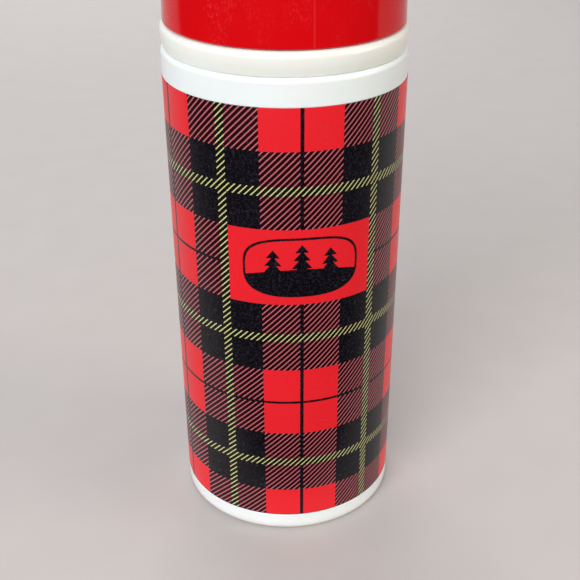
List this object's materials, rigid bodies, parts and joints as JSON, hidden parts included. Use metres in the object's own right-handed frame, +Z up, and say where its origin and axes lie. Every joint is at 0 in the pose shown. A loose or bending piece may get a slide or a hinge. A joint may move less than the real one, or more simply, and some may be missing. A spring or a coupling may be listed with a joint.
{
  "type": "vacuum flask",
  "caption": "Pint vacuum flask with a plaid printed steel jacket, white moulded base and collars, silvered glass filler, screw stopper and a red drinking cup that lifts off.",
  "frame": {"origin": "centre of the base's foot ring, on the surface that the flask stands on", "axes": "+Z up along the axis of the flask, -Y towards the front with the badge panel, +X to the right"},
  "size_m": [0.089, 0.089, 0.255],
  "materials": {
    "cup_red": "gloss",
    "stopper_white": "satin",
    "collar_cream": "satin",
    "collar_white": "satin",
    "base_white": "satin",
    "ring_white": "satin",
    "printed_steel": "gloss",
    "silvered_glass": "polished",
    "seal_rubber": "matte",
    "cushion_rubber": "matte",
    "spacer_felt": "matte",
    "foam": "matte",
    "liner_paper": "matte"
  },
  "bodies": {
    "flask": {"outer_jacket": "printed_steel", "shoulder_collar": "collar_white", "pouring_collar": "collar_cream", "neck_gasket": "seal_rubber", "jacket_bottom_ring": "ring_white", "base_cup": "base_white", "base_cushion": "cushion_rubber", "seal_tip_cap": "cushion_rubber", "paper_liner": "liner_paper", "shoulder_cushion": "foam", "filler_inner_flask": "silvered_glass", "filler_outer_flask": "silvered_glass", "filler_spacers": "spacer_felt"},
    "cup": {"drinking_cup": "cup_red"},
    "seal": {"stopper_gasket": "seal_rubber"},
    "stopper": {"stopper_shell": "stopper_white", "stopper_grip": "stopper_white", "stopper_foam": "foam"}
  },
  "joints": [
    {"name": "cup_lift", "type": "slide", "parent": "flask", "child": "cup", "axis": [0, 0, 1], "range_m": [0, 0.07]},
    {"name": "stopper_rise", "type": "slide", "parent": "flask", "child": "seal", "axis": [0, 0, 1], "range_m": [0, 0.012]},
    {"name": "stopper_turn", "type": "hinge", "parent": "seal", "child": "stopper", "pos_m": [0, 0, 0.2], "axis": [0, 0, 1], "range_deg": [0, 720]}
  ],
  "couplings": [
    {"joint": "stopper_rise", "follows": "stopper_turn", "m_per_rad": 0.00095492}
  ]
}
